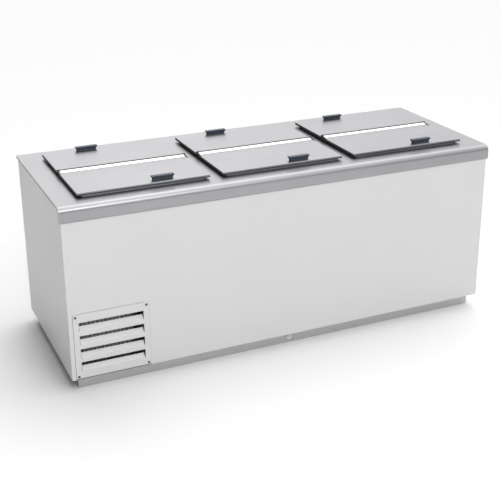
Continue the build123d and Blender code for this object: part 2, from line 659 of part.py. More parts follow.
def grille():
    """Panel let into the front's notch, with four louvres pressed back from their lower edges."""
    sheet = CABINET_SHEET
    x = (GRILLE_LEFT, GRILLE_RIGHT)
    panel = block(x, (-HALF_DEPTH, -INSIDE_Y), (GRILLE_LOW, GRILLE_TOP))
    slot_x = (GRILLE_LEFT + LOUVRE_END_INSET, GRILLE_RIGHT - LOUVRE_END_INSET)
    vane_x = (slot_x[0] + LOUVRE_END_GAP, slot_x[1] - LOUVRE_END_GAP)
    slope = math.hypot(LOUVRE_DEPTH, LOUVRE_RISE)
    normal = (sheet * LOUVRE_RISE / slope, -sheet * LOUVRE_DEPTH / slope)
    for n in range(LOUVRE_COUNT):
        slot_top = GRILLE_TOP - LOUVRE_TOP_INSET - n * LOUVRE_PITCH
        slot_low = slot_top - LOUVRE_HEIGHT
        panel -= block(slot_x, (-HALF_DEPTH - 1, -INSIDE_Y + 1), (slot_low, slot_top))
        tip = (-HALF_DEPTH + LOUVRE_DEPTH, slot_low + LOUVRE_RISE)
        vane = polygon(
            (-HALF_DEPTH, slot_low),
            tip,
            (tip[0] + normal[0], tip[1] + normal[1]),
            (-INSIDE_Y, slot_low - sheet),
            (-HALF_DEPTH, slot_low - sheet),
        )
        panel += along_x(vane, vane_x)
    flange_x = (x[0] + LANDING_WIDTH + SEAM, x[1] - LANDING_WIDTH - SEAM)
    flange_y = (-INSIDE_Y - sheet / 2, -INSIDE_Y + GRILLE_FLANGE)
    panel += block(flange_x, flange_y, (GRILLE_LOW, GRILLE_LOW + sheet))
    for x, z in screw_places():
        panel -= cylinder_y(
            SCREW_RADIUS + 0.1, x, (-HALF_DEPTH - 1, -INSIDE_Y + 1), z
        )
    return panel


def grille_screws():
    """Four pan-head screws with a cross slot."""
    screws = []
    for x, z in screw_places():
        head_y = (-HALF_DEPTH - SCREW_HEAD, -HALF_DEPTH)
        screw = cylinder_y(SCREW_HEAD_RADIUS, x, head_y, z)
        rim = screw.edges().filter_by(GeomType.CIRCLE).sort_by(Axis.Y)[0]
        screw = fillet(rim, SCREW_HEAD / 2)
        screw += cylinder_y(
            SCREW_RADIUS, x, (-HALF_DEPTH - 0.5, -HALF_DEPTH + SCREW_LENGTH), z
        )
        slot_y = (head_y[0] - 1, head_y[0] + CROSS_SLOT[2])
        half, narrow = CROSS_SLOT[0] / 2, CROSS_SLOT[1] / 2
        screw -= block((x - half, x + half), slot_y, (z - narrow, z + narrow))
        screw -= block((x - narrow, x + narrow), slot_y, (z - half, z + half))
        screws.append(screw)
    return screws


def blank_plates():
    """Two thin plates with nothing on them, at the grille's upper and lower edges."""
    face = (-HALF_DEPTH - PLATE_THICKNESS, -HALF_DEPTH)
    plates = []
    for (length, height, inset), edge in ((UPPER_PLATE, GRILLE_TOP), (LOWER_PLATE, GRILLE_LOW)):
        low = edge - inset - height if edge == GRILLE_TOP else edge + inset
        x = (GRILLE_MIDDLE - length / 2, GRILLE_MIDDLE + length / 2)
        plates.append(block(x, face, (low, low + height)))
    return plates


# ------------------------------------------------------------------------------- condensing unit
def unit_tray():
    """Folded tray that the compressor, the condenser and the fan bracket stand on."""
    x = (-INSIDE_X + TRAY_MARGIN, RISER_X - TRAY_MARGIN)
    y = (-HALF_DEPTH + TRAY_FRONT_GAP, INSIDE_Y - TRAY_BACK_GAP)
    z = (PAN_TOP, PAN_TOP + TRAY_LIP)
    tray = block(x, y, z)
    inner_x = (x[0] + TRAY_SHEET, x[1] - TRAY_SHEET)
    return tray - block(inner_x, (y[0] - 1, y[1] + 1), (UNIT_Z, z[1] + 1))


def compressor():
    """Domed hermetic can on a foot plate, standing on four rubber grommets."""
    low = UNIT_Z + GROMMET_HEIGHT
    plate_z = (low, low + FOOT_PLATE[2])
    plate = Pos(UNIT_X, COMPRESSOR_Y, sum(plate_z) / 2) * Box(*FOOT_PLATE)
    can_z = (plate_z[1], plate_z[1] + COMPRESSOR_HEIGHT)
    can = cylinder_z(COMPRESSOR_RADIUS, UNIT_X, COMPRESSOR_Y, can_z)
    rims = can.edges().filter_by(GeomType.CIRCLE).sort_by(Axis.Z)
    can = fillet(rims[-1], COMPRESSOR_DOME)
    weld_lift, weld_width, weld_out = COMPRESSOR_WELD
    weld_z = (can_z[0] + weld_lift, can_z[0] + weld_lift + weld_width)
    can += cylinder_z(COMPRESSOR_RADIUS + weld_out, UNIT_X, COMPRESSOR_Y, weld_z)
    box_out, box_run, box_height = TERMINAL_BOX
    can_side = UNIT_X - COMPRESSOR_RADIUS
    box_z = (can_z[0] + TERMINAL_BOX_LIFT, can_z[0] + TERMINAL_BOX_LIFT + box_height)
    box_y = (COMPRESSOR_Y - box_run / 2, COMPRESSOR_Y + box_run / 2)
    can += block((can_side - box_out, can_side + 12), box_y, box_z)
    grommets = []
    for x in (UNIT_X - GROMMET_SPREAD[0] / 2, UNIT_X + GROMMET_SPREAD[0] / 2):
        for side in (-1, 1):
            y = COMPRESSOR_Y + side * GROMMET_SPREAD[1] / 2
            grommets.append(cylinder_z(GROMMET_RADIUS, x, y, (UNIT_Z, low)))
    return [plate + can] + grommets


def condenser():
    """Finned block between two end plates, grooved at the front."""
    low, high = UNIT_Z, CONDENSER_TOP
    y = (CONDENSER_Y - CONDENSER_DEPTH / 2, CONDENSER_Y + CONDENSER_DEPTH / 2)
    half = CONDENSER_WIDTH / 2
    core_z = (low + CONDENSER_END, high - CONDENSER_END)
    core = block((CONDENSER_X - half, CONDENSER_X + half), y, core_z)
    pitch = CONDENSER_WIDTH / FIN_GROOVES
    cut_y = (y[0] - 1, y[0] + FIN_GROOVE_DEPTH)
    cut_z = (core_z[0] + CONDENSER_END, core_z[1] - CONDENSER_END)
    for n in range(FIN_GROOVES):
        x = CONDENSER_X - half + pitch * (n + 0.5)
        core -= block((x - pitch * 0.3, x + pitch * 0.3), cut_y, cut_z)
    sheet, proud = CONDENSER_PLATE
    plate_y = (y[0] - proud, y[1] + proud)
    for side in (-1, 1):
        plate_x = sorted((CONDENSER_X + side * half, CONDENSER_X + side * (half + sheet)))
        core += block(plate_x, plate_y, (low, high))
    return core


def fan_motor():
    """Round motor on an upright bracket, its shaft pointing forward to the blade."""
    front = FAN_Y + FAN_HUB[1] / 2 + MOTOR_GAP
    motor = cylinder_y(MOTOR_RADIUS, CONDENSER_X, (front, front + MOTOR_LENGTH), FAN_Z)
    shaft_y = (FAN_Y - FAN_HUB[1] / 4, front + 1)
    motor += cylinder_y(FAN_SHAFT_RADIUS, CONDENSER_X, shaft_y, FAN_Z)
    middle_y = front + MOTOR_LENGTH / 2
    post_y = (middle_y - POST_SIZE[1] / 2, middle_y + POST_SIZE[1] / 2)
    post_x = (CONDENSER_X - POST_SIZE[0] / 2, CONDENSER_X + POST_SIZE[0] / 2)
    foot_x = (CONDENSER_X - POST_FOOT[0] / 2, CONDENSER_X + POST_FOOT[0] / 2)
    post = block(post_x, post_y, (UNIT_Z, FAN_Z))
    return motor + post + block(foot_x, post_y, (UNIT_Z, UNIT_Z + POST_FOOT[1]))


def fan_blade():
    """Hub and pitched blades, turning on the motor's shaft."""
    radius, length = FAN_HUB
    hub_y = (FAN_Y - length / 2, FAN_Y + length / 2)
    fan = cylinder_y(radius, CONDENSER_X, hub_y, FAN_Z)
    root = radius - 4
    span = FAN_RADIUS - root
    blade = Pos(root + span / 2, 0, 0) * Rot(BLADE_PITCH, 0, 0) * Box(span, BLADE_SHEET, BLADE_CHORD)
    for n in range(FAN_BLADES):
        turn = Rot(0, 360 / FAN_BLADES * n, 0)
        fan += Pos(CONDENSER_X, FAN_Y, FAN_Z) * turn * blade
    shaft_y = (FAN_Y - length / 4 - FIT_GAP, FAN_Y + length)
    return fan - cylinder_y(FAN_SHAFT_RADIUS + ROD_CLEARANCE, CONDENSER_X, shaft_y, FAN_Z)


def thermostat():
    """Control box fixed to the wall of the machine compartment, with the knob's spindle."""
    width, depth, height = THERMOSTAT_SIZE
    box = Pos(THERMOSTAT_X, THERMOSTAT_Y, THERMOSTAT_Z) * Box(width, depth, height)
    front = THERMOSTAT_Y - depth / 2
    spindle_y = (front - SPINDLE_LENGTH, front + 1)
    spindle = cylinder_y(SPINDLE_RADIUS, THERMOSTAT_X, spindle_y, THERMOSTAT_Z)
    lug_y = (THERMOSTAT_Y - LUG_SIZE[0] / 2, THERMOSTAT_Y + LUG_SIZE[0] / 2)
    lug_middle = THERMOSTAT_Z + height / 2
    lug_z = (lug_middle - LUG_SIZE[1] / 2, lug_middle + LUG_SIZE[1] / 2)
    return box + spindle + block((THERMOSTAT_X, RISER_X), lug_y, lug_z)


def thermostat_knob():
    """Knob with a pointer ridge, on the thermostat's spindle."""
    front = THERMOSTAT_Y - THERMOSTAT_SIZE[1] / 2
    knob_y = (front - 1 - KNOB_DEPTH, front - 1)  # 1 mm clear of the box
    knob = cylinder_y(KNOB_RADIUS, THERMOSTAT_X, knob_y, THERMOSTAT_Z)
    ridge_x = (THERMOSTAT_X - 1.5, THERMOSTAT_X + 1.5)
    ridge_z = (THERMOSTAT_Z - 2, THERMOSTAT_Z + KNOB_RADIUS - 1)
    knob += block(ridge_x, (knob_y[0] - 2, knob_y[0] + 1), ridge_z)
    bore_y = (front - SPINDLE_LENGTH - FIT_GAP, front + 1)
    bore_radius = SPINDLE_RADIUS + ROD_CLEARANCE
    return knob - cylinder_y(bore_radius, THERMOSTAT_X, bore_y, THERMOSTAT_Z)


def cord_gland():
    """Flanged bush in the back panel, empty: the supply cord would pass through it."""
    body_y = (HALF_DEPTH - GLAND_LENGTH + GLAND_FLANGE, HALF_DEPTH)
    flange_y = (HALF_DEPTH, HALF_DEPTH + GLAND_FLANGE)
    gland = cylinder_y(GLAND_RADIUS, GLAND_X, body_y, GLAND_Z)
    gland += cylinder_y(GLAND_FLANGE_RADIUS, GLAND_X, flange_y, GLAND_Z)
    bore_y = (body_y[0] - 1, flange_y[1] + 1)
    return gland - cylinder_y(GLAND_BORE, GLAND_X, bore_y, GLAND_Z)


# --------------------------------------------------------------------------- collars and lid sets
def collar(x):
    """Black moulded frame that caps the counter top's raised rim and reaches down through it."""
    cap = rounded_ring(
        (x - COLLAR_X, x + COLLAR_X),
        (COLLAR_FRONT, COLLAR_BACK),
        (TOP_HEIGHT + RIM_HEIGHT, SEAT_Z),
        COLLAR_WALL,
        COLLAR_CORNER,
    )
    inset = TOP_SHEET + FIT_GAP  # the rim stands outside this part
    foot = rounded_ring(
        (x - COLLAR_X + inset, x + COLLAR_X - inset),
        (COLLAR_FRONT + inset, COLLAR_BACK - inset),
        (TOP_HEIGHT, TOP_HEIGHT + RIM_HEIGHT),
        COLLAR_WALL - inset,
        COLLAR_CORNER - inset,
    )
    neck = rounded_ring(
        (x - NECK_X, x + NECK_X),
        (NECK_FRONT, NECK_BACK),
        (TOP_HEIGHT - COLLAR_NECK_DEPTH, TOP_HEIGHT + 1),
        COLLAR_NECK_WALL,
        CORNER_RADIUS,
    )
    return cap + foot + neck


def hinge_rail(x):
    """Stainless cover strip between the leaves, sloping up from the front to the barrel."""
    ridge = AXIS_Z + RAIL_RIDGE
    low = LID_TOP_Z + RAIL_FRONT_EDGE
    under = AXIS_Z - RAIL_DEPTH
    outer = [
        (RAIL_FRONT, under),
        (RAIL_FRONT, low),
        (RAIL_BACK, ridge),
        (RAIL_BACK, under),
    ]
    sheet = RAIL_SHEET
    inner = [
        (RAIL_FRONT + sheet, under - 1),
        (RAIL_FRONT + sheet, low - sheet),
        (RAIL_BACK - sheet, ridge - sheet * 1.2),
        (RAIL_BACK - sheet, under - 1),
    ]
    ends = (x - HINGE_END_X, x + HINGE_END_X)
    return along_x(polygon(*outer), ends) - along_x(polygon(*inner), (ends[0] - 1, ends[1] + 1))


def hinge_base(x):
    """Black bar across the mouth: seats for the gaskets, a web, and the barrel for the rod."""
    ends = (x - HINGE_END_X, x + HINGE_END_X)
    seat = block(
        (x - MOUTH_X + 1, x + MOUTH_X - 1), (BASE_FRONT, BASE_BACK), (SEAT_Z - 12, SEAT_Z)
    )
    rail_under = AXIS_Z - RAIL_DEPTH
    web = block(
        ends, (RAIL_FRONT + 2, HINGE_Y + REAR_LEAF_TO_AXIS - 2), (SEAT_Z, rail_under)
    )
    neck = block(ends, (HINGE_Y - 3, HINGE_Y + 3), (rail_under - 1, AXIS_Z - 2))
    barrel = cylinder_x(BARREL_RADIUS, ends, HINGE_Y, AXIS_Z)
    bore = cylinder_x(
        ROD_RADIUS + ROD_CLEARANCE, (ends[0] - 1, ends[1] + 1), HINGE_Y, AXIS_Z
    )
    return seat + web + neck + barrel - bore


def hinge_rod(x):
    """Steel pin through the barrel and all four ears, headed at both ends."""
    end = EAR_OUTER_X + FIT_GAP
    rod = cylinder_x(ROD_RADIUS, (x - end - 1, x + end + 1), HINGE_Y, AXIS_Z)
    for side in (-1, 1):
        head = sorted((x + side * end, x + side * (end + ROD_HEAD)))
        rod += cylinder_x(ROD_HEAD_RADIUS, head, HINGE_Y, AXIS_Z)
    return rod


def leaf_span(front):
    """Y limits of a leaf: the front one or the rear one."""
    if front:
        return (SET_FRONT, FRONT_LEAF_BACK)
    return (REAR_LEAF_FRONT, SET_BACK)


def seal_span(front):
    """Y limits of a leaf's gasket, from the collar's outer face to the hinge base's edge."""
    if front:
        return (COLLAR_FRONT, BASE_FRONT + GASKET_WIDTH)
    return (BASE_BACK - GASKET_WIDTH, COLLAR_BACK)


def lid_skin(x, front):
    """Stainless sheet folded down over all four edges of a leaf."""
    outer_x = (x - HALF_SET, x + HALF_SET)
    span = leaf_span(front)
    skin = block(outer_x, span, (LID_TOP_Z - LID_SKIN_FOLD, LID_TOP_Z))
    upright = skin.edges().filter_by(Axis.Z)
    skin = fillet(upright, 2.0)
    inner_x = (outer_x[0] + LID_SKIN, outer_x[1] - LID_SKIN)
    inner_y = (span[0] + LID_SKIN, span[1] - LID_SKIN)
    hollow_z = (LID_TOP_Z - LID_SKIN_FOLD - 1, LID_TOP_Z - LID_SKIN)
    return skin - block(inner_x, inner_y, hollow_z)


def ear_outline(front):
    """Arm from a leaf's hinge edge to the hinge axis, in (Y, Z)."""
    fold_z = LID_TOP_Z - LID_SKIN_FOLD
    if front:
        edge = FRONT_LEAF_BACK
        tongue_run, tongue_rise = EAR_TONGUE
        return polygon(
            (edge - 3, LID_Z),
            (edge - 3, fold_z),
            (edge, fold_z),
            (edge, LID_TOP_Z),
            (edge - tongue_run, LID_TOP_Z),
            (edge - tongue_run, LID_TOP_Z + tongue_rise),
            (HINGE_Y - 2, AXIS_Z + 1.5),
            (HINGE_Y, AXIS_Z - 4),
            (HINGE_Y - 5, LID_Z + 4),
        )
    edge = REAR_LEAF_FRONT
    return polygon(
        (edge + 3, LID_Z),
        (edge + 3, fold_z),
        (edge, fold_z),
        (edge - 1, AXIS_Z - 2),
        (HINGE_Y, AXIS_Z),
        (HINGE_Y - 4, AXIS_Z - 3),
        (HINGE_Y, LID_Z),
    )


def lid_pan(x, front):
    """Black foam-filled pan under the skin, with a plug below and an ear at each end."""
    span = leaf_span(front)
    fold_z = LID_TOP_Z - LID_SKIN_FOLD
    rim_x = (x - HALF_SET, x + HALF_SET)
    tray = block(rim_x, span, (LID_Z, fold_z))
    tray += block(
        (rim_x[0] + LID_SKIN, rim_x[1] - LID_SKIN),
        (span[0] + LID_SKIN, span[1] - LID_SKIN),
        (fold_z, LID_TOP_Z - LID_SKIN),
    )
    if front:
        plug_y = (MOUTH_FRONT + PLUG_GAP, BASE_FRONT - PLUG_GAP)
    else:
        plug_y = (BASE_BACK + PLUG_GAP, MOUTH_BACK - PLUG_GAP)
    plug_x = (x - MOUTH_X + PLUG_GAP, x + MOUTH_X - PLUG_GAP)
    plug = block(plug_x, plug_y, (LID_Z - PLUG_DEPTH, LID_Z))
    pan = tray + fillet(plug.edges().filter_by(Axis.Z), 8)
    for side in (-1, 1):
        near, far = (EAR_SPLIT_X + FIT_GAP, EAR_OUTER_X) if front else (
            HINGE_END_X + FIT_GAP,
            EAR_SPLIT_X,
        )
        ends = sorted((x + side * near, x + side * far))
        ear = along_x(ear_outline(front), ends) + cylinder_x(
            EYE_RADIUS, ends, HINGE_Y, AXIS_Z
        )
        hole = (ends[0] - 1, ends[1] + 1)
        ear -= cylinder_x(ROD_RADIUS + ROD_CLEARANCE, hole, HINGE_Y, AXIS_Z)
        pan += ear
    return pan


def lid_gasket(x, front):
    """Soft ring under a leaf that rests on the collar and on the hinge base."""
    return ring(
        (x - COLLAR_X, x + COLLAR_X), seal_span(front), (SEAT_Z, LID_Z), GASKET_WIDTH
    )


def waisted(foot, top):
    """Half-profile pair of a handle: narrow foot, concave side, flared lip."""
    half_foot, half_top = foot / 2, top / 2
    neck_z = HANDLE_HEIGHT - HANDLE_LIP
    bow = HANDLE_WAIST
    right = ThreePointArc(
        (half_foot, 0), (half_foot - bow * 0.3, neck_z * 0.45), (half_top, neck_z)
    )
    left = ThreePointArc(
        (-half_foot, 0), (-half_foot + bow * 0.3, neck_z * 0.45), (-half_top, neck_z)
    )
    lines = [
        Line((-half_foot, 0), (half_foot, 0)),
        right,
        Line((half_top, neck_z), (half_top, HANDLE_HEIGHT)),
        Line((half_top, HANDLE_HEIGHT), (-half_top, HANDLE_HEIGHT)),
        Line((-half_top, HANDLE_HEIGHT), (-half_top, neck_z)),
        left,
    ]
    return make_face(lines)


def lid_handle(x, front):
    """Flared grip bar with concave sides and ends, standing on a leaf."""
    long_way = Pos(0, HANDLE_TOP[1], 0) * extrude(
        Plane.XZ * waisted(HANDLE_FOOT[0], HANDLE_TOP[0]), 2 * HANDLE_TOP[1]
    )
    short_way = along_x(
        waisted(HANDLE_FOOT[1], HANDLE_TOP[1]), (-HANDLE_TOP[0], HANDLE_TOP[0])
    )
    grip = long_way & short_way
    if front:
        place = (x + FRONT_HANDLE_X, SET_FRONT + FRONT_HANDLE_INSET, LID_TOP_Z)
    else:
        place = (x + REAR_HANDLE_X, SET_BACK - REAR_HANDLE_INSET, LID_TOP_Z)
    return Pos(*place) * grip


# ----------------------------------------------------------------------------------------- output
def all_nodes():
    """Every node's name and its solid or list of solids."""
    nodes = {
        "plinth": plinth(),
        "floor_pan": floor_pan(),
        "front_panel": front_panel(),
        "left_panel": side_panel(-1),
        "right_panel": side_panel(1),
        "back_panel": back_panel(),
        "counter_top": counter_top(),
        "tank": tank(),
        "mullions": mullions(),
        "insulation": insulation(),
        "evaporator": evaporator(),
        "drain_tube": drain_tube(),
        "drain_cap": drain_cap(),
        "grille": grille(),
        "grille_screws": grille_screws(),
        "blank_plates": blank_plates(),
        "unit_tray": unit_tray(),
        "compressor": compressor(),
        "condenser": condenser(),
        "fan_motor": fan_motor(),
        "fan_blade": fan_blade(),
        "thermostat": thermostat(),
        "thermostat_knob": thermostat_knob(),
        "cord_gland": cord_gland(),
    }
    for name, x in zip(SET_NAMES, set_middles()):
        nodes[f"{name}_collar"] = collar(x)
        nodes[f"{name}_hinge_rail"] = hinge_rail(x)
        nodes[f"{name}_hinge_base"] = hinge_base(x)
        nodes[f"{name}_hinge_rod"] = hinge_rod(x)
        for leaf, front in (("front", True), ("rear", False)):
            nodes[f"{name}_{leaf}_lid_skin"] = lid_skin(x, front)
            nodes[f"{name}_{leaf}_lid_pan"] = lid_pan(x, front)
            nodes[f"{name}_{leaf}_lid_gasket"] = lid_gasket(x, front)
            nodes[f"{name}_{leaf}_lid_handle"] = lid_handle(x, front)
    return nodes


def main():
    os.makedirs("parts", exist_ok=True)
    for name, shape in all_nodes().items():
        solids = shape if isinstance(shape, list) else [shape]
        flat = [solid for piece in solids for solid in piece.solids()]
        export_step(Compound(flat), f"parts/{name}.step")


main()
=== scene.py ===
"""The looks of the chest freezer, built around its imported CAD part.

Metres, in the part's own frame: +X runs along the length, -Y is the front, +Z is up. Places and
sizes come from the CAD nodes' boxes. The first half makes materials, the second makes pieces.
"""

import json
import math

import bmesh
import bpy
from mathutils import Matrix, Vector

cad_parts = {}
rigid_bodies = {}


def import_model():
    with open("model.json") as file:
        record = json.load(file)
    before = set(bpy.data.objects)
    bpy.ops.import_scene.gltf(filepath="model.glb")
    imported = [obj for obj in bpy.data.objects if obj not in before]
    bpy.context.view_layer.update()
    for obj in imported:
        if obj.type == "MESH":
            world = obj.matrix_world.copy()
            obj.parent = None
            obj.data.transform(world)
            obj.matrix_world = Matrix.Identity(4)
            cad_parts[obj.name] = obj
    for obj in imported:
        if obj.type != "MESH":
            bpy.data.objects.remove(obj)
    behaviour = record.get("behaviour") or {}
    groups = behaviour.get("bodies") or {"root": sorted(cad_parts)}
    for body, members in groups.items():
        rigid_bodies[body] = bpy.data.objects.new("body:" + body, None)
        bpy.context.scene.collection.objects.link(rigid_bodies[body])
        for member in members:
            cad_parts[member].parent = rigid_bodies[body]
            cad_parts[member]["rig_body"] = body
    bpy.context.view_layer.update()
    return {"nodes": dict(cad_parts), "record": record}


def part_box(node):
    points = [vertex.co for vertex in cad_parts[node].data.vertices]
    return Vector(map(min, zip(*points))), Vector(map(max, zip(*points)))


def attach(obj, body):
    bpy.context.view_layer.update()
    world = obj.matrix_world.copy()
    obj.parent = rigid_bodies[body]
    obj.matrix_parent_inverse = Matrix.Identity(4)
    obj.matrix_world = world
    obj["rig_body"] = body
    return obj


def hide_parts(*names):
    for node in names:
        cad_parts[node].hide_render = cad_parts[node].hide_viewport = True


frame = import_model()
NODES = frame["nodes"]
MM = 0.001
HEM_HEIGHT = 6.0 * MM  # turned-down edge at the counter top's sides and back
RIM_HEIGHT = 3.5 * MM  # raised edge of the counter top round each lid opening
SETS = ("left", "middle", "right")
LEAVES = ("front", "rear")


# -------------------------------------------------------------------------------- node materials
class Look:
    """A Principled material, and short ways to feed its colour, roughness and bump."""

    def __init__(self, name, color, metallic=0.0, roughness=0.5, **sockets):
        self.material = bpy.data.materials.new(name)
        self.material.use_nodes = True
        self.tree = self.material.node_tree
        self.shader = self.tree.nodes["Principled BSDF"]
        self.color = (*color, 1.0)
        self.shader.inputs["Base Color"].default_value = self.color
        self.shader.inputs["Metallic"].default_value = metallic
        self.shader.inputs["Roughness"].default_value = roughness
        for socket, value in sockets.items():
            self.shader.inputs[socket.replace("_", " ")].default_value = value
        self.coords = self.add("ShaderNodeTexCoord").outputs["Object"]

    def add(self, kind, **inputs):
        node = self.tree.nodes.new(kind)
        for name, value in inputs.items():
            self.feed(node.inputs[name.replace("_", " ")], value)
        return node

    def feed(self, socket, value):
        if isinstance(value, bpy.types.NodeSocket):
            self.tree.links.new(value, socket)
        else:
            socket.default_value = value

    def stretched(self, scale):
        """Object coordinates in metres, multiplied by scale along each axis."""
        mapping = self.add("ShaderNodeMapping", Vector=self.coords, Scale=scale)
        return mapping.outputs["Vector"]

    def noise(self, scale, detail=3.0, roughness=0.55):
        """Noise from 0 to 1, with that many waves in a metre along each axis."""
        scale = (scale,) * 3 if isinstance(scale, (int, float)) else scale
        node = self.add("ShaderNodeTexNoise", Vector=self.stretched(scale), Scale=1.0)
        node.inputs["Detail"].default_value = detail
        node.inputs["Roughness"].default_value = roughness
        return node.outputs["Fac"]

    def cells(self, scale):
        """A random value from 0 to 1 for each cell of a Voronoi pattern."""
        node = self.add("ShaderNodeTexVoronoi", Vector=self.stretched((scale,) * 3), Scale=1.0)
        split = self.add("ShaderNodeSeparateColor", Color=node.outputs["Color"])
        return split.outputs["Red"]

    def spread(self, value, low, high, start=0.3, end=0.7):
        """Carries value from start..end to low..high."""
        node = self.add("ShaderNodeMapRange", Value=value)
        node.inputs["From Min"].default_value = start
        node.inputs["From Max"].default_value = end
        node.inputs["To Min"].default_value = low
        node.inputs["To Max"].default_value = high
        return node.outputs["Result"]

    def blend(self, factor, first, second):
        node = self.add("ShaderNodeMix")
        node.data_type = "RGBA"
        self.feed(node.inputs["Factor"], factor)
        self.feed(node.inputs["A"], first)
        self.feed(node.inputs["B"], second)
        return node.outputs["Result"]

    def shade(self, factor, amount):
        """Colour that varies by amount, as a share of the base, where factor goes from 0 to 1."""
        dark = (*(c * (1 - amount) for c in self.color[:3]), 1.0)
        light = (*(min(1.0, c * (1 + amount)) for c in self.color[:3]), 1.0)
        return self.blend(factor, dark, light)

    def bump(self, height, distance, strength=1.0, under=None):
        node = self.add("ShaderNodeBump", Height=height)
        node.inputs["Distance"].default_value = distance
        node.inputs["Strength"].default_value = strength
        if under is not None:
            self.tree.links.new(under, node.inputs["Normal"])
        self.tree.links.new(node.outputs["Normal"], self.shader.inputs["Normal"])
        return node.outputs["Normal"]

    def to(self, socket, value):
        self.tree.links.new(value, self.shader.inputs[socket])


def stainless():
    """Brushed along X, with faint long streaks, cloudy wear and a slight lilac cast."""
    look = Look("stainless_steel", (0.365, 0.364, 0.378), metallic=1.0, roughness=0.34)
    fine = look.noise((5.0, 1300.0, 1300.0), detail=3.0)
    broad = look.noise((1.6, 70.0, 70.0), detail=2.0)
    cloud = look.noise(3.2, detail=3.0)
    look.to("Roughness", look.spread(broad, 0.32, 0.36))
    tone = look.spread(cloud, 0.0, 1.0)
    look.to("Base Color", look.shade(tone, 0.035))
    look.bump(fine, 0.00001, strength=0.15)
    return look.material


def bright_rail():
    """Strip over the hinge, smoother than the counter's steel. Its far paler base colour is a
    painted highlight that stands for the light its sloped face catches.
    """
    # Painted highlight: base colour 0.80, against 0.365 for the same steel on the counter top.
    look = Look("bright_rail", (0.80, 0.80, 0.81), metallic=1.0, roughness=0.20)
    drawn = look.noise((4.0, 900.0, 900.0), detail=2.0)
    look.to("Roughness", look.spread(look.noise(9.0), 0.16, 0.26))
    look.bump(drawn, 0.00001, strength=0.3)
    return look.material


def painted_white():
    """Baked enamel with faint orange peel and a barely uneven tone."""
    look = Look("white_enamel", (0.70, 0.702, 0.71), roughness=0.36, IOR=1.5)
    peel = look.noise(420.0, detail=1.5)
    cloud = look.noise(2.2, detail=3.0)
    look.to("Base Color", look.shade(look.spread(cloud, 0.0, 1.0), 0.012))
    look.to("Roughness", look.spread(cloud, 0.33, 0.42))
    look.bump(peel, 0.00003, strength=0.5)
    return look.material


def galvanised():
    """Zinc spangle in flat flakes over a matte grey sheet."""
    look = Look("galvanised_steel", (0.54, 0.545, 0.55), metallic=0.8, roughness=0.48)
    flake = look.cells(170.0)
    scuff = look.noise((20.0, 20.0, 160.0), detail=4.0)
    look.to("Base Color", look.shade(look.spread(flake, 0.0, 1.0, 0.0, 1.0), 0.06))
    look.to("Roughness", look.spread(flake, 0.43, 0.53, 0.0, 1.0))
    look.bump(scuff, 0.00006, strength=0.4)
    return look.material


def black_plastic():
    """Moulded black frame with a fine spark-eroded grain."""
    look = Look("black_moulding", (0.060, 0.064, 0.073), roughness=0.42)
    grain = look.noise(1500.0, detail=2.0)
    worn = look.noise(14.0, detail=4.0)
    look.to("Roughness", look.spread(worn, 0.36, 0.52))
    look.bump(grain, 0.00005, strength=0.5)
    return look.material


def lid_pan():
    """Vacuum-formed dark pan: smoother than the frame, with soft ripples."""
    look = Look("lid_pan_plastic", (0.062, 0.068, 0.079), roughness=0.35)
    ripple = look.noise(60.0, detail=2.0)
    grain = look.noise(1100.0, detail=2.0)
    look.to("Roughness", look.spread(ripple, 0.30, 0.44))
    first = look.bump(ripple, 0.0002, strength=0.3)
    look.bump(grain, 0.00004, strength=0.4, under=first)
    return look.material


def handle_plastic():
    """Dark slate-blue grip, a little paler in rubbed patches."""
    look = Look("slate_grip", (0.034, 0.048, 0.070), roughness=0.42)
    rub = look.noise(45.0, detail=4.0)
    grain = look.noise(1600.0, detail=2.0)
    look.to("Base Color", look.shade(look.spread(rub, 0.0, 1.0), 0.22))
    look.to("Roughness", look.spread(rub, 0.34, 0.50))
    look.bump(grain, 0.00005, strength=0.6)
    return look.material


def rubber():
    """Soft black seal with a dusty sheen. The same black also paints the shadow strips under the
    hem and round the grille.
    """
    look = Look("seal_rubber_and_painted_shadow", (0.036, 0.037, 0.040), roughness=0.68, Sheen_Weight=0.15)
    dust = look.noise(90.0, detail=4.0)
    look.to("Base Color", look.shade(look.spread(dust, 0.0, 1.0), 0.35))
    look.bump(look.noise(900.0), 0.00005, strength=0.5)
    return look.material


def tank_liner():
    """White-enamelled liner sheet with a hint of frost haze."""
    look = Look("liner_sheet", (0.70, 0.72, 0.74), metallic=0.0, roughness=0.40)
    frost = look.noise(26.0, detail=5.0)
    look.to("Base Color", look.shade(look.spread(frost, 0.0, 1.0), 0.06))
    look.to("Roughness", look.spread(frost, 0.34, 0.62))
    look.bump(frost, 0.0002, strength=0.3)
    return look.material


def foam():
    """Cream-coloured rigid foam with open pores."""
    look = Look("insulation_foam", (0.74, 0.66, 0.44), roughness=0.9)
    pores = look.noise(700.0, detail=4.0)
    look.to("Base Color", look.shade(look.spread(pores, 0.0, 1.0), 0.15))
    look.bump(pores, 0.0004, strength=0.8)
    return look.material


def copper():
    """Refrigeration tube with patches of tarnish."""
    look = Look("copper_tube", (0.80, 0.42, 0.28), metallic=1.0, roughness=0.28)
    tarnish = look.noise(35.0, detail=5.0)
    look.to("Base Color", look.shade(look.spread(tarnish, 0.0, 1.0), 0.18))
    look.to("Roughness", look.spread(tarnish, 0.22, 0.45))
    return look.material


def pale_plastic():
    """White moulded plastic of the drain cap and tube."""
    look = Look("pale_plastic", (0.74, 0.745, 0.74), roughness=0.38, Subsurface_Weight=0.05)
    look.to("Base Color", look.shade(look.spread(look.noise(60.0, detail=4.0), 0.0, 1.0), 0.04))
    look.bump(look.noise(900.0), 0.00004, strength=0.4)
    return look.material


def zinc_screw():
    """Zinc-plated screw head, blackened with age."""
    look = Look("blackened_screw", (0.10, 0.10, 0.105), metallic=0.8, roughness=0.38)
    look.to("Base Color", look.shade(look.spread(look.noise(400.0), 0.0, 1.0), 0.15))
    look.bump(look.noise(2500.0), 0.00004, strength=0.4)
    return look.material


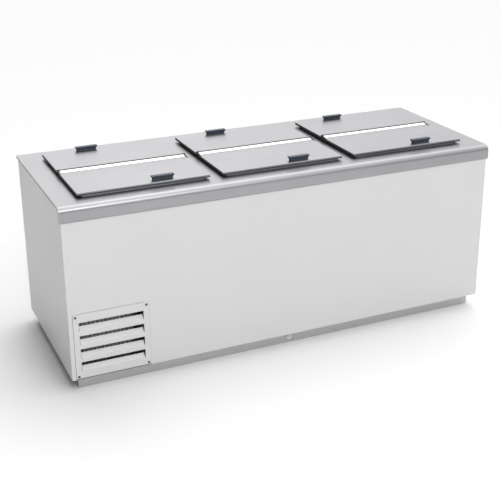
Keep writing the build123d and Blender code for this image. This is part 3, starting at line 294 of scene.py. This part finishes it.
def blank_plate():
    """Satin label stock with nothing printed on it."""
    look = Look("satin_label", (0.72, 0.725, 0.72), metallic=0.25, roughness=0.42)
    look.to("Roughness", look.spread(look.noise((30.0, 30.0, 1200.0)), 0.36, 0.50))
    look.to("Base Color", look.shade(look.noise(80.0, detail=4.0), 0.03))
    return look.material


def compressor_black():
    """Glossy black paint on the compressor's can."""
    look = Look("stove_black", (0.018, 0.018, 0.019), roughness=0.30, Coat_Weight=0.3)
    look.to("Roughness", look.spread(look.noise(40.0, detail=4.0), 0.25, 0.45))
    look.bump(look.noise(300.0), 0.0001, strength=0.3)
    return look.material


def condenser_fins():
    """Dusty aluminium fins, seen dimly through the louvres."""
    look = Look("condenser_aluminium", (0.44, 0.44, 0.45), metallic=0.3, roughness=0.60)
    dust = look.noise(30.0, detail=5.0)
    look.to("Base Color", look.shade(look.spread(dust, 0.0, 1.0), 0.20))
    look.bump(look.noise((900.0, 20.0, 20.0)), 0.0001, strength=0.3)
    return look.material


def fan_aluminium():
    """Pressed aluminium sheet of the fan blade."""
    look = Look("fan_sheet", (0.66, 0.665, 0.67), metallic=1.0, roughness=0.30)
    look.to("Roughness", look.spread(look.noise(60.0, detail=4.0), 0.24, 0.42))
    look.bump(look.noise(800.0), 0.00004, strength=0.3)
    return look.material


LOOKS = {
    "stainless": stainless(),
    "bright_rail": bright_rail(),
    "painted_white": painted_white(),
    "galvanised": galvanised(),
    "tank_liner": tank_liner(),
    "black_plastic": black_plastic(),
    "lid_pan": lid_pan(),
    "handle_plastic": handle_plastic(),
    "gasket": rubber(),
    "foam": foam(),
    "copper": copper(),
    "pale_plastic": pale_plastic(),
    "zinc_screw": zinc_screw(),
    "blank_plate": blank_plate(),
    "compressor_black": compressor_black(),
    "condenser_fins": condenser_fins(),
    "fan_aluminium": fan_aluminium(),
}
NODE_SLOT = {part["node"]: part["material_slot"] for part in frame["record"]["subparts"]}


def dress_nodes():
    """Gives every CAD node the procedural material of its slot."""
    for name, node in NODES.items():
        node.data.materials.clear()
        node.data.materials.append(LOOKS[NODE_SLOT[name]])


EASED = {  # CAD nodes whose bare edges get a small radius, in millimetres
    "grille": 0.5, "front_panel": 0.5, "left_panel": 0.5, "right_panel": 0.5, "back_panel": 0.5,
    "plinth": 0.8, "unit_tray": 0.5, "compressor": 0.8, "drain_cap": 0.6, "thermostat_knob": 0.8,
    "blank_plates": 0.2,
}
EASED_SETS = {"collar": 0.6, "hinge_base": 0.5, "hinge_rail": 0.3}
EASE_SEGMENTS = 2
EASE_ANGLE = 40.0  # degrees; flatter edges stay as they are


def ease(name, width):
    """Rounds a CAD node's hard edges a little with modifiers, so that they catch the light."""
    bevel = NODES[name].modifiers.new("eased_edges", "BEVEL")
    bevel.width = width * MM
    bevel.segments = EASE_SEGMENTS
    bevel.limit_method = "ANGLE"
    bevel.angle_limit = math.radians(EASE_ANGLE)
    bevel.use_clamp_overlap = True
    bevel.harden_normals = True


def ease_nodes():
    for name, width in EASED.items():
        ease(name, width)
    for set_name in SETS:
        for part, width in EASED_SETS.items():
            ease(f"{set_name}_{part}", width)


# ------------------------------------------------------------------------------------ mesh tools
def finish_mesh(bm, name, slot, sharp=35.0):
    """Makes an object from bm, smooth but for its sharp edges, with the slot's material."""
    bmesh.ops.recalc_face_normals(bm, faces=bm.faces)
    mesh = bpy.data.meshes.new(name)
    bm.to_mesh(mesh)
    bm.free()
    for face in mesh.polygons:
        face.use_smooth = True
    mesh.set_sharp_from_angle(angle=math.radians(sharp))
    piece = bpy.data.objects.new(name, mesh)
    bpy.context.scene.collection.objects.link(piece)
    mesh.materials.append(LOOKS[slot])
    normals = piece.modifiers.new("normals", "WEIGHTED_NORMAL")
    normals.keep_sharp = True
    return piece


def place(bm, name, like, sharp=35.0):
    """Makes a piece from bm: it rides with CAD node `like`, stands for it and has its slot."""
    piece = finish_mesh(bm, name, NODE_SLOT[like], sharp)
    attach(piece, NODES[like]["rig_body"])
    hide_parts(like)
    return piece


def rounded_loop(middle, half_x, half_y, z, radius, steps=4):
    """Points of a rounded rectangle at height z, counter-clockwise."""
    points = []
    corners = [(1, 1, 0), (-1, 1, 90), (-1, -1, 180), (1, -1, 270)]
    for side_x, side_y, start in corners:
        centre_x = middle[0] + side_x * (half_x - radius)
        centre_y = middle[1] + side_y * (half_y - radius)
        for step in range(steps + 1):
            angle = math.radians(start + 90 * step / steps)
            x = centre_x + radius * math.cos(angle)
            y = centre_y + radius * math.sin(angle)
            points.append((x, y, z))
    return points


def loft(bm, loops, first_cap=True, last_cap=True, closed=False):
    """Joins loops of equal length with quads, and caps the ends."""
    rows = [[bm.verts.new(p) for p in loop] for loop in loops]
    pairs = list(zip(rows, rows[1:]))
    if closed:
        pairs.append((rows[-1], rows[0]))
    for low, high in pairs:
        for n in range(len(low)):
            m = (n + 1) % len(low)
            bm.faces.new((low[n], low[m], high[m], high[n]))
    if first_cap and not closed:
        bm.faces.new(rows[0][::-1])
    if last_cap and not closed:
        bm.faces.new(rows[-1])
    return rows


def quarter(steps=4):
    """(sine, cosine) pairs from 0 to 90 degrees."""
    turns = [math.pi / 2 * n / steps for n in range(steps + 1)]
    return [(math.sin(a), math.cos(a)) for a in turns]


def squared(value, fullness):
    """Value from -1 to 1, pushed outwards so that a circle made of such values gets squarer."""
    return math.copysign(abs(value) ** fullness, value)


def middle_of(low, high):
    return ((low.x + high.x) / 2, (low.y + high.y) / 2)


# ------------------------------------------------------------------------------------ lid pieces
SKIN_SHEET = 1.0 * MM
SKIN_BEND = 1.6 * MM  # outside radius of the folded edges
SKIN_CORNER = 2.0 * MM
LEAST_CORNER = 0.3 * MM


def lid_skin(node):
    """Folded stainless sheet: flat top, rolled bends and a short skirt all round."""
    low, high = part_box(node)
    middle = middle_of(low, high)
    half_x, half_y = (high.x - low.x) / 2, (high.y - low.y) / 2

    def loop(inset, z):
        radius = max(SKIN_CORNER - inset, LEAST_CORNER)
        return rounded_loop(middle, half_x - inset, half_y - inset, z, radius)

    inner_bend = SKIN_BEND - SKIN_SHEET
    loops = [loop(SKIN_BEND, high.z - SKIN_SHEET)]
    for sine, cosine in reversed(quarter(3)):
        inset = SKIN_SHEET + inner_bend * (1 - sine)
        loops.append(loop(inset, high.z - SKIN_BEND + inner_bend * cosine))
    loops.append(loop(SKIN_SHEET, low.z))
    loops.append(loop(0.0, low.z))
    for sine, cosine in quarter(5):
        inset = SKIN_BEND * (1 - cosine)
        loops.append(loop(inset, high.z - SKIN_BEND + SKIN_BEND * sine))
    bm = bmesh.new()
    loft(bm, loops)
    place(bm, f"{node}_sheet", node)


HANDLE_FOOT = (82.0 * MM, 13.0 * MM)
HANDLE_LIP = 2.5 * MM
HANDLE_CORNER = 1.4 * MM
HANDLE_WAIST = 1.6 * MM  # how far the sides draw in between foot and lip
HANDLE_FLARE = 1.6  # over 1, the width grows mostly near the lip
HANDLE_EDGE = 0.8 * MM
HANDLE_ROWS = 40
DISH_BORDER, DISH_SLOPE, DISH_DEPTH = 2.2 * MM, 0.8 * MM, 0.5 * MM
GROOVE_COUNT = 5
GROOVE_DEPTH = 0.45 * MM
GROOVE_FULLNESS = 0.7


def handle_half(foot, top, share):
    """Half width of the grip at a share of the way from its foot to its lip."""
    bow = 4 * share * (1 - share)
    return (foot + (top - foot) * share**HANDLE_FLARE) / 2 - HANDLE_WAIST * bow * (1 - share)


def lid_handle(node):
    """Flared grip with concave sides, grooved all round, and a shallow dish in its top."""
    low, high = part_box(node)
    middle = middle_of(low, high)
    top_x, top_y = high.x - low.x, high.y - low.y
    neck = high.z - HANDLE_LIP
    loops = []

    def lip_loop(inset, z):
        half_x, half_y = top_x / 2 - inset, top_y / 2 - inset
        loops.append(rounded_loop(middle, half_x, half_y, z, HANDLE_CORNER, 3))

    for row in range(HANDLE_ROWS + 1):
        share = row / HANDLE_ROWS
        wave = math.cos(2 * math.pi * GROOVE_COUNT * share)
        inset = GROOVE_DEPTH * max(0.0, -wave) ** GROOVE_FULLNESS
        half_x = handle_half(HANDLE_FOOT[0], top_x, share) - inset
        half_y = handle_half(HANDLE_FOOT[1], top_y, share) - inset
        z = low.z + (neck - low.z) * share
        loops.append(rounded_loop(middle, half_x, half_y, z, HANDLE_CORNER, 3))
    for sine, cosine in quarter(4):
        lip_loop(HANDLE_EDGE * (1 - cosine), high.z - HANDLE_EDGE + HANDLE_EDGE * sine)
    lip_loop(DISH_BORDER, high.z)
    lip_loop(DISH_BORDER + DISH_SLOPE, high.z - DISH_DEPTH)
    bm = bmesh.new()
    loft(bm, loops)
    place(bm, f"{node}_grip", node, sharp=50.0)


GASKET_WIDTH = 8.0 * MM
GASKET_INNER_CORNER = 2.0 * MM
GASKET_FULLNESS = 0.6  # 1 is an ellipse, and less is squarer
GASKET_STEPS = 24
PINCH_DEPTH = 0.35  # share of the height lost between the two ribs
PINCH_WIDTH = 0.22  # share of the half width


def lid_gasket(node):
    """Bellows seal: two soft ribs round a rounded rectangle."""
    low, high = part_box(node)
    middle = middle_of(low, high)
    half_x, half_y = (high.x - low.x) / 2, (high.y - low.y) / 2
    height = high.z - low.z
    profile = []
    for n in range(GASKET_STEPS):
        angle = 2 * math.pi * n / GASKET_STEPS
        across, up = math.cos(angle), math.sin(angle)
        pinch = 1 - PINCH_DEPTH * math.exp(-((across / PINCH_WIDTH) ** 2))
        inset = GASKET_WIDTH / 2 * (1 + squared(across, GASKET_FULLNESS))
        z = low.z + height / 2 * (1 + squared(up, GASKET_FULLNESS) * pinch)
        profile.append((inset, z))
    corner = GASKET_WIDTH + GASKET_INNER_CORNER
    loops = []
    for inset, z in profile:
        radius = corner - inset
        loops.append(rounded_loop(middle, half_x - inset, half_y - inset, z, radius, 5))
    bm = bmesh.new()
    loft(bm, loops, closed=True)
    place(bm, f"{node}_seal", node, sharp=60.0)


# ------------------------------------------------------------------------------- cabinet pieces
# Sizes of a dark bead that is painted shadow in the gap under the counter top's hem.
BEAD = 4.5 * MM  # height
BEAD_INSET = 0.1 * MM  # hem's outer face to the bead
BEAD_FULLNESS = 0.35
BEAD_STEPS = 12


def painted_shadow_bead():
    """Painted shadow: a dark bead along the gap between the cabinet and the counter top's hem, on
    three sides.
    """
    top_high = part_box("counter_top")[1]
    panel_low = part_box("left_panel")[0]
    hem_low = top_high.z - RIM_HEIGHT - HEM_HEIGHT
    outer_x, outer_y = top_high.x - BEAD_INSET, top_high.y - BEAD_INSET
    depth = outer_x + panel_low.x
    front = panel_low.y
    section = []
    for step in range(BEAD_STEPS + 1):
        angle = math.pi * step / BEAD_STEPS
        out = depth / 2 * squared(math.cos(angle), BEAD_FULLNESS)
        section.append((out, -BEAD * squared(math.sin(angle), BEAD_FULLNESS)))
    middle = outer_x - depth / 2
    back = outer_y - depth / 2
    corners = [  # place, then the way to the inside of the cabinet
        (-middle, front, 1, 0), (-middle, back, 1, -1),
        (middle, back, -1, -1), (middle, front, -1, 0),
    ]
    loops = []
    for x, y, to_x, to_y in corners:
        loops.append([(x - to_x * out, y - to_y * out, hem_low + drop) for out, drop in section])
    bm = bmesh.new()
    loft(bm, loops)
    bead = finish_mesh(bm, "hem_painted_shadow", "gasket")
    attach(bead, NODES["counter_top"]["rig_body"])


# Sizes of the dark strips at the grille's left edge and foot. The strips are painted shadow in
# those gaps.
SHADOW_STRIP_WIDTH = 1.2 * MM  # beside the grille
SHADOW_STRIP_SET_BACK = 0.4 * MM  # from the grille's face
SHADOW_STRIP_DEPTH = 9.0 * MM
SHADOW_STRIP_CORNER = 0.3 * MM
SHADOW_STRIP_GAP = 0.1 * MM  # above and below the strip at the foot


def grille_shadow_strips():
    """Painted shadow: dark strips filling the gaps at the grille's left edge and foot, where
    shadow lines fall.
    """
    low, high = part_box("grille")
    plinth_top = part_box("plinth")[1].z
    middle_y = low.y + SHADOW_STRIP_SET_BACK + SHADOW_STRIP_DEPTH / 2
    strips = (  # name, from x, to x, from z, to z
        ("grille_edge_shadow_strip", low.x - SHADOW_STRIP_WIDTH, low.x, low.z, high.z),
        ("grille_foot_shadow_strip", low.x, high.x, plinth_top + SHADOW_STRIP_GAP, low.z - SHADOW_STRIP_GAP),
    )
    for name, left, right, foot, top in strips:
        middle = ((left + right) / 2, middle_y)
        size = ((right - left) / 2, SHADOW_STRIP_DEPTH / 2)
        bm = bmesh.new()
        loft(bm, [rounded_loop(middle, *size, z, SHADOW_STRIP_CORNER, 2) for z in (foot, top)])
        strip = finish_mesh(bm, name, "gasket")
        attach(strip, NODES["grille"]["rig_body"])


# ---------------------------------------------------------------------------------- room and view
CAMERA_AZIMUTH = -25.07  # degrees from the front
CAMERA_ELEVATION = 20.49
CAMERA_DISTANCE = 4.376
CAMERA_TARGET = (0.072, 0.0, 0.447)
CAMERA_LENS = 73.45  # mm, on a 36 mm sensor
CAMERA_SHIFT = (-0.0437, -0.0716)


def camera():
    """The photograph's viewing angle: to the left of the front and a little above."""
    azimuth, elevation = math.radians(CAMERA_AZIMUTH), math.radians(CAMERA_ELEVATION)
    back = Vector((
        math.sin(azimuth) * math.cos(elevation),
        -math.cos(azimuth) * math.cos(elevation),
        math.sin(elevation),
    ))
    data = bpy.data.cameras.new("camera")
    data.sensor_width = 36.0
    data.lens = CAMERA_LENS
    data.shift_x, data.shift_y = CAMERA_SHIFT
    data.clip_end = 60.0
    cam = bpy.data.objects.new("camera", data)
    cam.location = Vector(CAMERA_TARGET) + back * CAMERA_DISTANCE
    cam.rotation_mode = "QUATERNION"
    cam.rotation_quaternion = (-back).to_track_quat("-Z", "Y")
    bpy.context.scene.collection.objects.link(cam)
    bpy.context.scene.camera = cam


FLOOR_HALF = 14.0
FLOOR_DROP = 0.5 * MM  # below the object's feet


def floor():
    """Wide pale floor."""
    bm = bmesh.new()
    corners = [(-1, -1), (1, -1), (1, 1), (-1, 1)]
    bm.faces.new([bm.verts.new((x * FLOOR_HALF, y * FLOOR_HALF, -FLOOR_DROP)) for x, y in corners])
    mesh = bpy.data.meshes.new("floor")
    bm.to_mesh(mesh)
    bm.free()
    ground = bpy.data.objects.new("floor", mesh)
    bpy.context.scene.collection.objects.link(ground)
    look = Look("pale_floor", (0.96, 0.96, 0.96), roughness=0.9)
    look.shader.inputs["Specular IOR Level"].default_value = 0.1
    mesh.materials.append(look.material)


def area_light(name, place_at, aim, size, power):
    data = bpy.data.lights.new(name, "AREA")
    data.shape = "RECTANGLE"
    data.size, data.size_y = size
    data.energy = power
    light = bpy.data.objects.new(name, data)
    light.location = place_at
    direction = Vector(aim) - Vector(place_at)
    light.rotation_mode = "QUATERNION"
    light.rotation_quaternion = direction.to_track_quat("-Z", "Y")
    bpy.context.scene.collection.objects.link(light)


# Brightness of the surround, at places from 0 to 1 along each axis of the direction looked in.
# The three are multiplied together.
SKY_BANDS = ((0.0, 1.10), (0.33, 1.46), (0.62, 2.40), (0.85, 2.60), (1.0, 2.80))  # level to up
SKY_SIDES = ((0.0, 0.05), (0.33, 0.13), (0.52, 0.80), (0.61, 1.0), (0.78, 0.80), (1.0, 0.76))
SKY_FRONT = ((0.0, 0.62), (0.42, 0.66), (0.62, 1.0), (1.0, 1.0))  # from -Y to +Y
SKY_AXES = (("Z", 0.0, SKY_BANDS), ("X", -1.0, SKY_SIDES), ("Y", -1.0, SKY_FRONT))


def world():
    """Soft studio surround: brightest behind and to the right, dim on the left."""
    scene = bpy.context.scene
    scene.world = bpy.data.worlds.new("studio")
    scene.world.use_nodes = True
    tree = scene.world.node_tree
    background = tree.nodes["Background"]
    coords = tree.nodes.new("ShaderNodeTexCoord")
    split = tree.nodes.new("ShaderNodeSeparateXYZ")
    tree.links.new(coords.outputs["Generated"], split.inputs["Vector"])

    def graded(axis, low, stops):
        """Brightness along one axis of the direction, from low to 1."""
        place = tree.nodes.new("ShaderNodeMapRange")
        place.inputs["From Min"].default_value = low
        tree.links.new(split.outputs[axis], place.inputs["Value"])
        ramp = tree.nodes.new("ShaderNodeFloatCurve")
        curve = ramp.mapping.curves[0]
        peak = max(value for _, value in stops)
        curve.points[0].location = (stops[0][0], stops[0][1] / peak)
        curve.points[1].location = (stops[-1][0], stops[-1][1] / peak)
        for position, value in stops[1:-1]:
            curve.points.new(position, value / peak)
        ramp.mapping.update()
        tree.links.new(place.outputs["Result"], ramp.inputs["Value"])
        return ramp.outputs["Value"], peak

    level, strength = None, 1.0
    for axis, low, stops in SKY_AXES:
        value, peak = graded(axis, low, stops)
        strength *= peak
        if level is None:
            level = value
            continue
        product = tree.nodes.new("ShaderNodeMath")
        product.operation = "MULTIPLY"
        tree.links.new(level, product.inputs[0])
        tree.links.new(value, product.inputs[1])
        level = product.outputs["Value"]
    tree.links.new(level, background.inputs["Color"])
    background.inputs["Strength"].default_value = strength


KEY_PLACE, KEY_AIM = (-0.5, -3.4, 3.4), (0.0, -0.3, 0.4)
KEY_SIZE = (2.4, 1.6)
KEY_POWER = 45.0


def studio():
    scene = bpy.context.scene
    scene.view_settings.view_transform = "Standard"
    scene.view_settings.look = "None"
    world()
    floor()
    area_light("key", KEY_PLACE, KEY_AIM, KEY_SIZE, KEY_POWER)


camera()
studio()
dress_nodes()
ease_nodes()
painted_shadow_bead()
grille_shadow_strips()
for set_name in SETS:
    for leaf in LEAVES:
        lid_skin(f"{set_name}_{leaf}_lid_skin")
        lid_handle(f"{set_name}_{leaf}_lid_handle")
        lid_gasket(f"{set_name}_{leaf}_lid_gasket")
